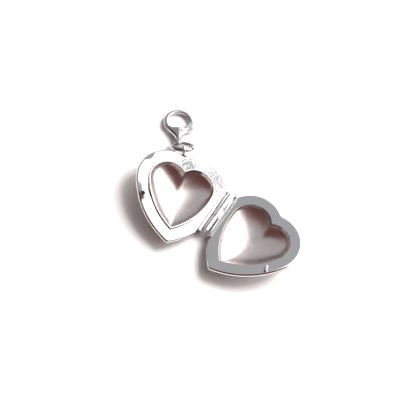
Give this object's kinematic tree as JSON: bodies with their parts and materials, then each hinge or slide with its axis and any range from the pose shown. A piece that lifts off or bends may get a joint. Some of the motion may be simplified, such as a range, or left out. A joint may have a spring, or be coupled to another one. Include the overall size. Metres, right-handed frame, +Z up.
{
  "type": "heart locket charm",
  "caption": "Open hinged heart locket charm in polished silver, with a catch peg, bail loop, jump ring and sprung lobster clasp.",
  "frame": {"origin": "middle of the charm's footprint, on the surface it lies on", "axes": "+Z up, +Y along the hinge axis towards the clasp, +X from the back half to the front half"},
  "size_m": [0.034, 0.0248, 0.0049],
  "materials": {
    "polished_silver": "polished",
    "satin_silver": "satin inside, polished outside",
    "spring_steel": "plain"
  },
  "bodies": {
    "back_half": {"back_shell": "satin_silver", "back_rim": "polished_silver", "back_lip": "polished_silver", "bail_loop": "polished_silver", "back_bearer": "polished_silver", "back_knuckle_lower": "polished_silver", "back_knuckle_upper": "polished_silver", "hinge_pin": "polished_silver"},
    "front_half": {"front_shell": "satin_silver", "front_rim": "polished_silver", "catch_peg": "polished_silver", "front_bearer": "polished_silver", "front_knuckle_middle": "polished_silver"},
    "jump_ring": {"jump_ring": "polished_silver"},
    "clasp": {"clasp_body": "polished_silver", "lever_rivet": "polished_silver", "lever_spring": "spring_steel"},
    "clasp_lever": {"clasp_lever": "polished_silver"}
  },
  "joints": [
    {"name": "locket_hinge", "type": "hinge", "parent": "back_half", "child": "front_half", "pos_m": [0.00125, -0.00231, 0.002], "axis": [0, -1, 0], "range_deg": [0, 162.8]},
    {"name": "bail_swing", "type": "hinge", "parent": "back_half", "child": "jump_ring", "pos_m": [-0.00993, 0.00362, 0.00369], "axis": [0.866, 0.5, 0], "range_deg": [-50, 85]},
    {"name": "eye_swing", "type": "hinge", "parent": "jump_ring", "child": "clasp", "pos_m": [-0.01191, 0.00568, 0.00104], "axis": [0.866, 0.5, 0], "range_deg": [-100, 60]},
    {"name": "lever_pivot", "type": "hinge", "parent": "clasp", "child": "clasp_lever", "pos_m": [-0.01276, 0.00796, 0.00087], "axis": [0.0349, -0.0604, -0.9976], "range_deg": [0, 26], "stiffness_Nm_per_rad": 0.00001, "springref_deg": -5.73, "deforming": ["lever_spring"]}
  ]
}
